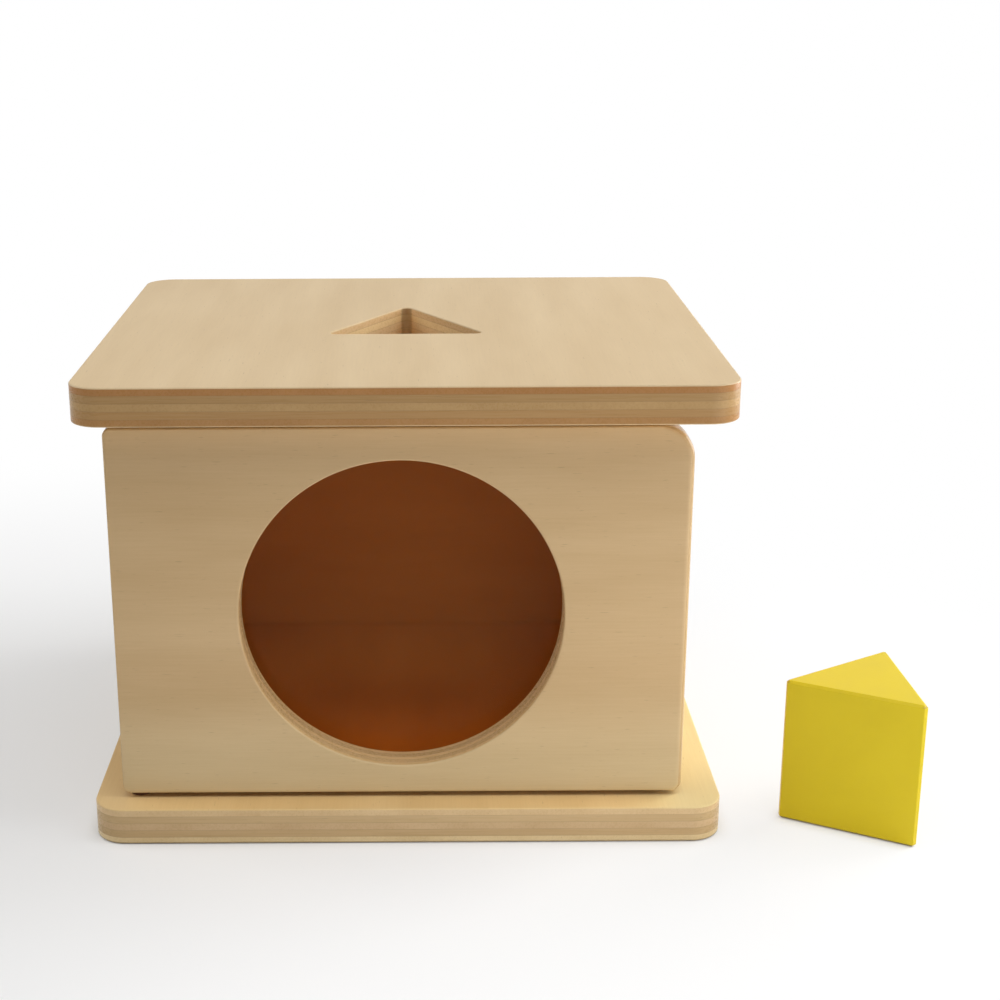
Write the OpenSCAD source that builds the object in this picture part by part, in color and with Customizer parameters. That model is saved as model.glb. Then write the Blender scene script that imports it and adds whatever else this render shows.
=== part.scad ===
// Posting box with a pivoting front door, a see-through window and a triangular prism to post.
// Millimetres. The origin is the centre of the base's underside, +X to the right, +Y to the back, +Z up.

/* [Lid and base] */
// Width of the lid and of the base, left to right
board_w = 200; // [180:1:280]
// Depth of the lid and of the base, front to back
board_d = 176; // [160:1:240]
// Thickness of the lid
lid_t = 12; // [10:0.5:18]
// Thickness of the base
base_t = 12; // [10:0.5:18]
// Radius of the upright corners of the lid and the base
corner_r = 10; // [4:0.5:16]
// Radius of the eased edges of the lid and the base
edge_r = 0.5; // [0.3:0.1:3]

/* [Walls] */
// Height of the walls, from the base to the lid
wall_h = 125; // [100:1:140]
// Thickness of the walls
wall_t = 10; // [9:0.5:14]
// How far the lid stands out behind the back wall
back_overhang = 8; // [2:0.5:16]

/* [Door] */
// Thickness of the door
door_t = 10; // [9:0.5:14]
// How far the lid stands out in front of the door
front_overhang = 8.5; // [3:0.5:14]
// How far the lid stands out past the door's hinge edge
hinge_overhang = 9; // [4:0.5:14]
// How far the lid stands out past the door's free edge
free_overhang = 12.5; // [6:0.5:20]
// How far the door's free edge stands out past the right wall, to be gripped
grip_overhang = 6.5; // [3:0.5:9]
// Gap between the base and the door, which the lower washer fills
gap_low = 1.5; // [0.8:0.1:3]
// Gap between the door and the lid
gap_high = 2.6; // [1.8:0.1:4]
// Gap between the back of the door and the front ends of the side walls
shut_gap = 0.5; // [0.3:0.1:1]
// Radius of the door's grip corner, at the top on the free side
grip_r = 10.5; // [6:0.5:20]
// Radius of the door's other corners
door_corner_r = 2.5; // [1:0.5:5]

/* [Window] */
// Height of the door's wood below the window
rail_low = 9.5; // [8:0.5:20]
// Height of the door's wood above the window
rail_high = 10.4; // [8:0.1:20]
// How far the middle of the window lies to the right of the middle between the side walls
window_shift = -1.5; // [-4:0.5:4]
// Thickness of the pane
pane_t = 3; // [2:0.5:4]
// How much wider than the window the pane is on each side, so that it covers the wood there
pane_lap_side = 10; // [6:0.5:11]
// How far the pane covers the wood above and below the window
pane_lap_rail = 6; // [4:0.5:7.5]
// Radius of the pane's corners
pane_corner_r = 6; // [2:0.5:10]
// Distance from the pane's edges to each pane screw
pane_screw_inset = 7; // [5:0.5:9]

/* [Posting hole] */
// How much longer the sides of the hole are than the prism's
hole_ease = 7; // [3:0.5:10]
// Radius of the hole's corners
hole_corner_r = 2; // [1:0.5:4]
// Distance from the lid's front edge to the straight front edge of the hole
hole_from_front = 73.5; // [60:0.5:90]

/* [Prism] */
// Side of the prism, as if its edges were sharp
prism_side = 46; // [30:0.5:48]
// Height of the prism
prism_h = 48.5; // [30:0.5:70]
// Radius of the prism's upright edges
prism_edge_r = 1; // [0.5:0.5:3]
// How far the prism's middle stands to the right of the base's right edge
prism_out = 46.2; // [35:0.1:120]
// How far the prism's middle stands behind the base's front edge
prism_in = 17; // [-40:0.5:80]
// Turn of the prism about its own upright axis, in degrees
prism_turn = -28; // [-60:1:60]

/* [Hinge] */
// Diameter of the hinge pins
pin_d = 4; // [3:0.5:5]
// How deep a hinge pin is pressed into the door
pin_grip = 15; // [10:1:20]
// Radial clearance of the hinge pins in the lid and the base
pin_play = 0.05; // [0.02:0.01:0.1]
// Outer diameter of the hinge washers
washer_d = 7; // [6:0.5:9]
// Thickness of the upper hinge washer, which lies on the door
washer_t = 1.5; // [0.8:0.1:1.7]

/* [Catch] */
// Diameter of the disc magnets of the catch
magnet_d = 6; // [4:0.5:7]
// Thickness of the disc magnets
magnet_t = 3; // [2:0.5:5]

/* [Fasteners] */
// Diameter of the wooden dowels
dowel_d = 6; // [4:0.5:6]
// Depth of a lid dowel in the wall
lid_dowel_down = 16; // [10:1:24]
// Depth of a back dowel in the back wall
back_dowel_in = 18; // [10:1:20]
// Distance from the ends of a wall to its dowels and screws
fastener_inset = 28; // [26:1:40]
// Diameter of the base screws' shanks
base_screw_d = 3.5; // [3:0.5:4]
// Diameter of the base screws' heads
base_screw_head_d = 7; // [6:0.5:8]
// How deep a base screw goes into the wall
base_screw_grip = 20; // [12:1:26]
// How far a base screw's head lies above the underside of the base
base_screw_sunk = 0.5; // [0.3:0.1:1]
// Diameter of the pane screws' shanks
pane_screw_d = 2.5; // [2:0.5:3]
// Diameter of the pane screws' heads
pane_screw_head_d = 5; // [4:0.5:6]
// Height of the pane screws' heads
pane_screw_head_h = 1.6; // [1:0.1:2.5]
// Wood left past the end of a blind hole
bore_floor = 3.5; // [2:0.5:5]
// Radial gap around dowels and screws in their holes
seat_gap = 0.05; // [0.02:0.01:0.1]
// Spare depth of a blind hole past the end of what sits in it
end_gap = 0.5; // [0.2:0.1:1]

/* [Hidden] */
$fn = 96;
past = 1; // how far a cut runs past the face that it opens

lid_z = base_t + wall_h;

// The door, and the axis that it turns on: half its thickness in from its hinge edge
door_left = -board_w / 2 + hinge_overhang;
door_right = board_w / 2 - free_overhang;
door_w = door_right - door_left;
door_front = -board_d / 2 + front_overhang;
door_back = door_front + door_t;
door_low = base_t + gap_low;
door_high = lid_z - gap_high;
door_h = door_high - door_low;
pivot_x = door_left + door_t / 2;
pivot_y = door_front + door_t / 2;

// The walls. The left wall's outer face lies where the door's front comes to when it is folded right back.
// The pane is centred between the side walls, so that it clears both when the door shuts.
left_out = pivot_x + door_t / 2;
left_in = left_out + wall_t;
right_out = door_right - grip_overhang;
right_in = right_out - wall_t;
wall_front = door_back + shut_gap;
back_out = board_d / 2 - back_overhang;
back_in = back_out - wall_t;
side_d = back_out - wall_front;
middle_x = (left_in + right_in) / 2;

window_d = door_h - rail_low - rail_high;
window_x = middle_x + window_shift;
window_z = door_low + rail_low + window_d / 2;
pane_w = window_d + 2 * pane_lap_side;
pane_h = window_d + 2 * pane_lap_rail;
pane_back = door_back + pane_t;

hole_side = prism_side + hole_ease;
hole_front = -board_d / 2 + hole_from_front;
hole_y = hole_front + hole_side / (2 * sqrt(3));

// How deep pins, dowels and screws sit in a board whose blind holes leave bore_floor of wood
lid_seat = lid_t - bore_floor - end_gap;
base_seat = base_t - bore_floor - end_gap;
wall_seat = wall_t - bore_floor - end_gap;
door_seat = door_t - bore_floor - end_gap;

// Places of the lid's dowels and of the base's screws, which both stand in the middle of the walls
left_mid = left_out + wall_t / 2;
right_mid = right_out - wall_t / 2;
back_mid = back_out - wall_t / 2;
wall_points = [
    for (x = [left_mid, right_mid], y = [wall_front + fastener_inset, back_in - fastener_inset]) [x, y],
    for (x = [left_in + fastener_inset, right_in - fastener_inset]) [x, back_mid]
];
magnet_z = lid_z - wall_h / 2;
back_dowel_z = [base_t + fastener_inset, lid_z - fastener_inset];

wood = [0.85, 0.73, 0.54];
wood_dark = [0.74, 0.58, 0.38];
steel = [0.72, 0.73, 0.75];

// Cross-section of a board with eased edges, standing on the X axis and centred on it
module eased_section(span, t) {
    union() {
        translate([-span / 2 + edge_r, 0]) square([span - 2 * edge_r, t]);
        translate([-span / 2, edge_r]) square([span, t - 2 * edge_r]);
        for (x = [-span / 2 + edge_r, span / 2 - edge_r], y = [edge_r, t - edge_r])
            translate([x, y]) circle(r = edge_r);
    }
}

// Round corner of a board with eased edges
module eased_corner(t) {
    rotate_extrude() union() {
        square([corner_r - edge_r, t]);
        translate([0, edge_r]) square([corner_r, t - 2 * edge_r]);
        for (y = [edge_r, t - edge_r])
            translate([corner_r - edge_r, y]) circle(r = edge_r);
    }
}

// Board of the lid's and the base's outline, standing on the XY plane
module eased_board(t) {
    union() {
        rotate([90, 0, 90]) linear_extrude(board_w - 2 * corner_r, center = true) eased_section(board_d, t);
        rotate([90, 0, 0]) linear_extrude(board_d - 2 * corner_r, center = true) eased_section(board_w, t);
        for (x = [-1, 1], y = [-1, 1])
            translate([x * (board_w / 2 - corner_r), y * (board_d / 2 - corner_r), 0]) eased_corner(t);
    }
}

// Equilateral triangle about its middle, with its straight front edge along X and round corners
module rounded_triangle(side, r) {
    reach = side / sqrt(3) - 2 * r;
    union() {
        polygon([
            for (i = [0:2], turn = [-60, 60])
                reach * [cos(90 + 120 * i), sin(90 + 120 * i)]
                + r * [cos(90 + 120 * i + turn), sin(90 + 120 * i + turn)]
        ]);
        for (i = [0:2])
            translate(reach * [cos(90 + 120 * i), sin(90 + 120 * i)]) circle(r = r);
    }
}

// Rectangle from the origin to [w, h] with a radius for each corner, counter-clockwise from low left
module rounded_rectangle(w, h, radii) {
    spots = [[0, 0], [w, 0], [w, h], [0, h]];
    inward = [[1, 1], [-1, 1], [-1, -1], [1, -1]];
    union() {
        polygon([
            for (i = [0:3]) each [
                spots[i] + radii[i] * (i % 2 == 0 ? [0, inward[i].y] : [inward[i].x, 0]),
                spots[i] + radii[i] * (i % 2 == 0 ? [inward[i].x, 0] : [0, inward[i].y])
            ]
        ]);
        for (i = [0:3])
            translate(spots[i] + radii[i] * inward[i]) circle(r = radii[i]);
    }
}

// Turns what is drawn in the XY plane into an upright plate, its front at y and its back at y + t
module upright(y, t) {
    translate([0, y + t, 0]) rotate([90, 0, 0]) linear_extrude(t) children();
}

// Upright round hole or rod from z_low to z_high
module upright_rod(point, r, z_low, z_high) {
    translate([point.x, point.y, z_low]) cylinder(r = r, h = z_high - z_low);
}

// Round hole or rod along Y, from y_front to y_back
module level_rod(x, z, r, y_front, y_back) {
    translate([x, y_front, z]) rotate([-90, 0, 0]) cylinder(r = r, h = y_back - y_front);
}

// The holes that the base's screws need: shank, countersink and the sunk mouth below the head
module base_screw_holes() {
    for (p = wall_points) {
        upright_rod(p, base_screw_d / 2 + seat_gap, -past, base_t + past);
        translate([p.x, p.y, -past]) cylinder(r = base_screw_head_d / 2 + seat_gap, h = past + base_screw_sunk);
        translate([p.x, p.y, base_screw_sunk]) countersink(seat_gap);
    }
}

// The screws' conical head, as wide again all round as the gap given
module countersink(gap) {
    cylinder(
        r1 = base_screw_head_d / 2 + gap,
        r2 = base_screw_d / 2 + gap,
        h = (base_screw_head_d - base_screw_d) / 2
    );
}

module base_board() {
    color(wood) difference() {
        eased_board(base_t);
        upright_rod([pivot_x, pivot_y], pin_d / 2 + pin_play, bore_floor, base_t + past);
        base_screw_holes();
    }
}

module lid_board() {
    color(wood) translate([0, 0, lid_z]) difference() {
        eased_board(lid_t);
        translate([0, hole_y, -past]) linear_extrude(lid_t + 2 * past) rounded_triangle(hole_side, hole_corner_r);
        upright_rod([pivot_x, pivot_y], pin_d / 2 + pin_play, -past, lid_t - bore_floor);
        for (p = wall_points)
            upright_rod(p, dowel_d / 2 + seat_gap, -past, lid_t - bore_floor);
    }
}

// What is drilled into the walls: dowel holes from above and screw holes from below
module wall_holes() {
    for (p = wall_points) {
        upright_rod(p, dowel_d / 2 + seat_gap, lid_z - lid_dowel_down - end_gap, lid_z + past);
        upright_rod(p, base_screw_d / 2 + seat_gap, base_t - past, base_t + base_screw_grip + end_gap);
    }
    back_dowel_rods(seat_gap, end_gap);
}

// The dowels between back wall and side walls, or their holes, with a gap all round and at the ends
module back_dowel_rods(gap, ends) {
    length = wall_seat + back_dowel_in + 2 * ends;
    for (x = [left_in - wall_seat - ends, right_in - back_dowel_in - ends], z = back_dowel_z)
        translate([x, back_mid, z]) rotate([0, 90, 0]) cylinder(r = dowel_d / 2 + gap, h = length);
}

module left_wall() {
    color(wood) difference() {
        translate([left_out, wall_front, base_t]) cube([wall_t, side_d, wall_h]);
        wall_holes();
    }
}

module right_wall() {
    color(wood) difference() {
        translate([right_in, wall_front, base_t]) cube([wall_t, side_d, wall_h]);
        wall_holes();
        level_rod(right_mid, magnet_z, magnet_d / 2 + seat_gap, wall_front - past, wall_front + magnet_t + end_gap);
    }
}

module back_wall() {
    color(wood) difference() {
        translate([left_in, back_in, base_t]) cube([right_in - left_in, wall_t, wall_h]);
        wall_holes();
    }
}

// The four places of the pane's screws, as [x, z]
function pane_screw_points() = [
    for (x = [-1, 1], z = [-1, 1])
        [middle_x + x * (pane_w / 2 - pane_screw_inset), window_z + z * (pane_h / 2 - pane_screw_inset)]
];

module door_panel() {
    color(wood) difference() {
        upright(door_front, door_t)
            translate([door_left, door_low])
                rounded_rectangle(door_w, door_h, [door_corner_r, door_corner_r, grip_r, door_corner_r]);
        level_rod(window_x, window_z, window_d / 2, door_front - past, door_back + past);
        upright_rod([pivot_x, pivot_y], pin_d / 2, door_low - past, door_low + pin_grip);
        upright_rod([pivot_x, pivot_y], pin_d / 2, door_high - pin_grip, door_high + past);
        for (p = pane_screw_points())
            level_rod(p.x, p.y, pane_screw_d / 2 + seat_gap, door_front + bore_floor, door_back + past);
        level_rod(right_mid, magnet_z, magnet_d / 2 + seat_gap, door_back - magnet_t - end_gap, door_back + past);
    }
}

module window_pane() {
    color([0.42, 0.2, 0.08, 0.7]) difference() {
        upright(door_back, pane_t)
            translate([middle_x - pane_w / 2, window_z - pane_h / 2])
                rounded_rectangle(pane_w, pane_h, [for (i = [0:3]) pane_corner_r]);
        for (p = pane_screw_points())
            level_rod(p.x, p.y, pane_screw_d / 2 + seat_gap, door_back - past, pane_back + past);
    }
}

module pane_screws() {
    color(steel) for (p = pane_screw_points()) {
        level_rod(p.x, p.y, pane_screw_d / 2, door_back - door_seat, pane_back);
        level_rod(p.x, p.y, pane_screw_head_d / 2, pane_back, pane_back + pane_screw_head_h);
    }
}

module triangular_prism() {
    color([0.88, 0.78, 0.2])
        translate([board_w / 2 + prism_out, -board_d / 2 + prism_in, 0])
            rotate([0, 0, prism_turn])
                linear_extrude(prism_h) rounded_triangle(prism_side, prism_edge_r);
}

module lower_hinge_pin() {
    color(steel) upright_rod([pivot_x, pivot_y], pin_d / 2, base_t - base_seat, door_low + pin_grip);
}

module upper_hinge_pin() {
    color(steel) upright_rod([pivot_x, pivot_y], pin_d / 2, door_high - pin_grip, lid_z + lid_seat);
}

// Flat ring round a hinge pin
module washer(z_low, z_high) {
    difference() {
        upright_rod([pivot_x, pivot_y], washer_d / 2, z_low, z_high);
        upright_rod([pivot_x, pivot_y], pin_d / 2 + pin_play, z_low - past, z_high + past);
    }
}

module lower_washer() {
    color(steel) washer(base_t, door_low);
}

module upper_washer() {
    color(steel) washer(door_high, door_high + washer_t);
}

module door_magnet() {
    color(steel) level_rod(right_mid, magnet_z, magnet_d / 2, door_back - magnet_t, door_back);
}

module wall_magnet() {
    color(steel) level_rod(right_mid, magnet_z, magnet_d / 2, wall_front, wall_front + magnet_t);
}

module base_screws() {
    color(steel) for (p = wall_points) {
        translate([p.x, p.y, base_screw_sunk]) countersink(0);
        upright_rod(p, base_screw_d / 2, base_screw_sunk, base_t + base_screw_grip);
    }
}

module lid_dowels() {
    color(wood_dark) for (p = wall_points)
        upright_rod(p, dowel_d / 2, lid_z - lid_dowel_down, lid_z + lid_seat);
}

module back_dowels() {
    color(wood_dark) back_dowel_rods(0, 0);
}

base_board();
lid_board();
left_wall();
right_wall();
back_wall();
door_panel();
window_pane();
triangular_prism();
lower_hinge_pin();
upper_hinge_pin();
lower_washer();
upper_washer();
pane_screws();
door_magnet();
wall_magnet();
base_screws();
lid_dowels();
back_dowels();
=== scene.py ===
# %% [markdown]
# # A plywood posting box, dressed for its picture
# A baby drops the yellow prism through the hole in the lid, sees it dimly behind the tinted window and
# opens the door to take it out again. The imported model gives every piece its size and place. This script
# gives each piece its eased edges and its finish: veneered plywood, tinted acrylic, paint, steel and nickel.

import math

import bpy
import numpy as np
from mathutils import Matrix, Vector


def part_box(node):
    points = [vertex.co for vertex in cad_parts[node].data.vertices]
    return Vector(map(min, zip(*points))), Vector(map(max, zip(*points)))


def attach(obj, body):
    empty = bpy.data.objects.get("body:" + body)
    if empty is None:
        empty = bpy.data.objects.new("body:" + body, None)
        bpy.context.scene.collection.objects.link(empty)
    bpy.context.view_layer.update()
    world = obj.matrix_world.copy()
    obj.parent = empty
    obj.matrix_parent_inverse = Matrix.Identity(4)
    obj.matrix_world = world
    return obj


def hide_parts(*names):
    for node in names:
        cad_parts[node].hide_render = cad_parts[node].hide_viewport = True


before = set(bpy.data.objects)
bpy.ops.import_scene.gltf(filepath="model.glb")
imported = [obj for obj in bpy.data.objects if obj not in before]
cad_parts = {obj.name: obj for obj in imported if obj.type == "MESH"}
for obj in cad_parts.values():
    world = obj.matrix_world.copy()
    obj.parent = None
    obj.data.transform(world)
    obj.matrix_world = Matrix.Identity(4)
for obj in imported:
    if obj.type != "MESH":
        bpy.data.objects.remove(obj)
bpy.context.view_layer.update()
MM = 0.001

# %% [markdown]
# ## Camera
# The picture was taken from just above the lid, straight in front of the door. A camera object could be
# aimed with a Track To constraint. Here it gets its place, pitch, yaw and roll as plain values, because they
# were fitted to the edges of the lid, the base and the window. The lens shift stands for the picture's crop.

# %% Camera
camera_place = (0.0038, -0.5780, 0.2703)
camera_pitch = math.radians(-17.42)
camera_yaw = math.radians(-0.07)
camera_roll = math.radians(-0.32)
camera_lens = 62.14
picture_shift = (0.0839, -0.0072)

camera = bpy.data.objects.new("camera", bpy.data.cameras.new("camera"))
camera.location = camera_place
camera.rotation_euler = (math.pi / 2 + camera_pitch, 0.0, -camera_yaw)
camera.rotation_euler.rotate_axis("Z", camera_roll)
camera.data.lens = camera_lens
camera.data.shift_x, camera.data.shift_y = picture_shift
bpy.context.scene.collection.objects.link(camera)
bpy.context.scene.camera = camera
bpy.context.scene.view_settings.view_transform = "Standard"
print("camera lens", camera_lens, "mm, looking down", round(-math.degrees(camera_pitch), 1), "degrees")

# %% [markdown]
# ## Wiring shader nodes
# Every finish below is a tree of shader nodes. They can be placed by hand in the Shader Editor. In a script
# the same few steps come back: add a node, set a value or link a socket. This small helper holds them, so
# that a finish reads like a sum.


# %% Node helper
class Bench:
    """Places and links shader nodes in one node tree."""

    def __init__(self, tree):
        self.tree = tree

    def add(self, kind, **settings):
        """A new node of that kind, with its settings."""
        node = self.tree.nodes.new("ShaderNode" + kind)
        for key, value in settings.items():
            setattr(node, key, value)
        return node

    def feed(self, socket, value):
        """Links a socket, or sets its value."""
        if isinstance(value, bpy.types.NodeSocket):
            self.tree.links.new(value, socket)
        else:
            socket.default_value = value

    def feed_all(self, sockets, *values):
        """Feeds a node's first sockets in their order."""
        for socket, value in zip(sockets, values):
            self.feed(socket, value)

    def fill(self, sockets, **values):
        """Feeds sockets by their names, written with _ for a space."""
        for label, value in values.items():
            self.feed(sockets[label.replace("_", " ")], value)

    def math(self, operation, *values):
        """A sum of one, two or three numbers."""
        node = self.add("Math", operation=operation)
        self.feed_all(node.inputs, *values)
        return node.outputs[0]

    def blend(self, share, first, second):
        """A number between two numbers."""
        node = self.add("Mix", data_type="FLOAT")
        self.feed_all((node.inputs[0], node.inputs[2], node.inputs[3]), share, first, second)
        return node.outputs[0]

    def colour(self, share, first, second, blend_type="MIX"):
        """A colour mixed from two colours. The share is kept between 0 and 1."""
        node = self.add("Mix", data_type="RGBA", blend_type=blend_type)
        self.feed_all((node.inputs[0], node.inputs[6], node.inputs[7]), share, first, second)
        return node.outputs[2]

    def mixed(self, share, first, second):
        """A shader mixed from two shaders."""
        node = self.add("MixShader")
        self.feed_all(node.inputs, share, first, second)
        return node.outputs[0]

    def spread(self, value, low, high, to_low=0.0, to_high=1.0):
        """A number moved from one range to another, eased at both ends."""
        node = self.add("MapRange", interpolation_type="SMOOTHSTEP")
        self.feed_all(node.inputs, value, low, high, to_low, to_high)
        return node.outputs[0]

    def place(self):
        """The shaded point in the object's own coordinates, in metres."""
        return self.add("TexCoord").outputs["Object"]

    def place_mm(self):
        """The same point in mm."""
        return self.scaled(self.place(), (1 / MM,) * 3)

    def vector(self, x, y, z):
        """Three numbers as one vector."""
        node = self.add("CombineXYZ")
        self.feed_all(node.inputs, x, y, z)
        return node.outputs[0]

    def split(self, vector):
        """The three numbers of a vector."""
        node = self.add("SeparateXYZ")
        self.feed(node.inputs[0], vector)
        return node.outputs

    def scaled(self, vector, factors):
        """A vector times a factor along each axis."""
        node = self.add("VectorMath", operation="MULTIPLY")
        self.feed_all(node.inputs, vector, factors)
        return node.outputs[0]

    def distance(self, vector, point):
        """How far one point lies from another."""
        node = self.add("VectorMath", operation="DISTANCE")
        self.feed_all(node.inputs, vector, point)
        return node.outputs["Value"]

    def noise(self, vector, fineness=(1.0, 1.0, 1.0), detail=2.0, roughness=0.5):
        """Cloudy noise. Along each axis its lumps are about one unit across, divided by the fineness."""
        node = self.add("TexNoise")
        fine = self.scaled(vector, fineness)
        self.fill(node.inputs, Vector=fine, Scale=1.0, Detail=detail, Roughness=roughness)
        return node.outputs["Fac"]

    def mark(self, name):
        """A mesh attribute: a number from 0 to 1 at each point."""
        return self.add("Attribute", attribute_name=name).outputs["Fac"]

    def bump(self, height, distance, strength=1.0):
        """A normal that follows a height, which stands for that distance in metres."""
        node = self.add("Bump")
        self.fill(node.inputs, Height=height, Distance=distance, Strength=strength)
        return node.outputs[0]

    def group(self, tree, **values):
        """A placed node group with its named inputs fed."""
        node = self.add("Group", node_tree=tree)
        self.fill(node.inputs, **values)
        return node


print("node helper ready")

# %% [markdown]
# ## Floor
# The box stands on a white sweep. A white plane lit by lamps alone turns grey towards the back. So the rays
# that end in the picture, straight from the camera, through the pane or by way of a shiny surface, see mostly
# plain white there, while the rays that carry light between surfaces see an ordinary pale floor. What is left
# of the lit floor in the camera's view keeps the soft shadow. An Ambient Occlusion node takes the white away
# where something stands close, so the contact line stays dark.

# %% Floor
floor_half = 4.0
floor_drop = 0.0001
floor_white = (0.88, 0.88, 0.88, 1.0)
glow_near, glow_far = 0.40, 1.0
glow_reach = (0.05, 0.42)
shade_middle = (-0.13, -0.06, 0.0)
contact_reach = 0.005


def seen_rays(bench):
    """1 for the rays that end in the picture: from the camera, through the pane or by a reflection."""
    path = bench.add("LightPath").outputs
    seen = bench.math("MAXIMUM", path["Is Camera Ray"], path["Is Transmission Ray"])
    return bench.math("MAXIMUM", seen, path["Is Glossy Ray"])


def dress_floor(material):
    """Pale matt floor that shows as white with a soft shadow."""
    bench = Bench(material.node_tree)
    nodes = material.node_tree.nodes
    nodes.remove(nodes["Principled BSDF"])
    lit = bench.add("BsdfDiffuse")
    bench.fill(lit.inputs, Color=floor_white)
    glow = bench.add("Emission")
    from_shade = bench.distance(bench.place(), shade_middle)
    share = bench.spread(from_shade, *glow_reach, glow_near, glow_far)
    contact = bench.add("AmbientOcclusion")
    bench.fill(contact.inputs, Distance=contact_reach)
    share = bench.math("MULTIPLY", share, contact.outputs["AO"])
    share = bench.math("MULTIPLY", seen_rays(bench), share)
    shown = bench.mixed(share, lit.outputs[0], glow.outputs[0])
    bench.fill(nodes["Material Output"].inputs, Surface=shown)


floor_mesh = bpy.data.meshes.new("floor")
floor_corners = np.array([[-1, -1], [1, -1], [1, 1], [-1, 1]]) * floor_half
floor_points = np.column_stack([floor_corners, np.full(4, -floor_drop)])
floor_mesh.from_pydata(floor_points.tolist(), [], [(0, 1, 2, 3)])
floor = bpy.data.objects.new("floor", floor_mesh)
bpy.context.scene.collection.objects.link(floor)
floor_material = bpy.data.materials.new("white_sweep")
floor_material.use_nodes = True
dress_floor(floor_material)
floor_mesh.materials.append(floor_material)
print("floor", 2 * floor_half, "m wide")

# %% [markdown]
# ## Air
# The world behind the floor could be one white colour, but then it would light the box from all sides and
# wash out the shadows. As on the floor, only the rays that end in the picture see white. For all the others
# the air is nearly dark, and the lamps do the lighting.

# %% World
air_white = (1.0, 1.0, 1.0, 1.0)
air_light = 0.02

world = bpy.data.worlds.new("studio_air")
world.use_nodes = True
bpy.context.scene.world = world
air = Bench(world.node_tree)
dim_air = world.node_tree.nodes["Background"]
air.fill(dim_air.inputs, Color=air_white, Strength=air_light)
bright_air = air.add("Background")
air.fill(bright_air.inputs, Color=air_white)
air_shown = air.mixed(seen_rays(air), dim_air.outputs[0], bright_air.outputs[0])
air.fill(world.node_tree.nodes["World Output"].inputs, Surface=air_shown)
print("air light", air_light)

# %% [markdown]
# ## Lamps
# In the picture the base's right end is brightest, the lid's top is evenly bright, and the lid shades the top
# of the door, so the light comes mostly from high up, in front and to the right, with a weaker lamp on the
# left. A small lamp stands near the right end, and two white cards lie on the table just outside the picture.
# Area lamps are used because a big lamp makes soft shadow edges. Their strengths were found by lighting the
# box with one at a time.

# %% Lamps
box_middle = (0.0, 0.0, 0.07)


def hang_lamp(name, place, side, watts, aim=box_middle):
    """Square area lamp of that side in metres, turned towards its aim and not seen itself."""
    data = bpy.data.lights.new(name, "AREA")
    data.size = side
    data.energy = watts
    lamp = bpy.data.objects.new(name, data)
    lamp.location = place
    away = Vector(place) - Vector(aim)
    lamp.rotation_euler = away.to_track_quat("Z", "Y").to_euler()
    lamp.visible_camera = False
    bpy.context.scene.collection.objects.link(lamp)
    return lamp


lamps = [
    hang_lamp("high_front", (0.00, -0.50, 1.30), 0.7, 4.3),
    hang_lamp("high_right", (0.70, -0.10, 1.10), 0.8, 3.0),
    hang_lamp("right_softbox", (0.95, 0.10, 1.00), 0.9, 6.0),
    hang_lamp("left_softbox", (-1.00, 0.00, 0.80), 0.9, 5.3),
    hang_lamp("right_window", (1.30, 0.00, 0.40), 0.6, 2.6),
    hang_lamp("right_end_lamp", (0.42, 0.08, 0.16), 0.2, 0.80, aim=(0.09, 0.0, 0.0)),
    hang_lamp("right_card", (0.22, -0.23, 0.02), 0.2, 0.21, aim=(0.08, -0.08, 0.02)),
    hang_lamp("front_card", (0.00, -0.215, 0.012), 0.2, 0.055, aim=(0.0, -0.09, 0.03)),
]
print("lamps:", [lamp.name for lamp in lamps])

# %% [markdown]
# ## Surfaces on a grid
# Each piece is a grid of points: the columns run once round the piece, and the rows follow its cross-section.
# A grid can close in two ways: its last row joins its first, as on a ring, or its first and last rows shrink
# to single points, as the poles of a globe do. numpy works out all the points at once, and from_pydata turns
# them into a mesh. Several copies of one grid can go into one mesh.


# %% Grid to mesh
PLANE_AXES = {"X": [1, 2], "Y": [2, 0], "Z": [0, 1]}
THICKNESS_AXIS = {"X": 0, "Y": 1, "Z": 2}


def stand(plane, height, axis):
    """Points from a flat outline and a height along an axis: X, Y or Z is the way the thickness runs."""
    points = np.empty(plane.shape[:-1] + (3,))
    points[..., PLANE_AXES[axis]] = plane
    points[..., THICKNESS_AXIS[axis]] = height
    return points


def grid_faces(rows, columns, poles):
    """Faces of one grid, counter-clockwise seen from outside.

    Each quad takes a point, the next in its row, and the two above them. With poles, the first and last row
    are one point each, and the faces there are triangles. Otherwise the rows close into a ring."""
    column = np.arange(columns)
    following = (column + 1) % columns

    def quads(row, above):
        corners = [row + column, row + following, above + following, above + column]
        return np.stack(corners, -1).reshape(-1, 4).tolist()

    if not poles:
        row = np.arange(rows)[:, None]
        return quads(row * columns, (row + 1) % rows * columns)
    row = np.arange(rows - 3)[:, None] * columns + 1
    last = (rows - 2) * columns + 1
    top = last - columns
    low_fan = np.stack([np.zeros(columns, int), following + 1, column + 1], -1)
    high_fan = np.stack([top + column, top + following, np.full(columns, last)], -1)
    return quads(row, row + columns) + low_fan.tolist() + high_fan.tolist()


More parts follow.
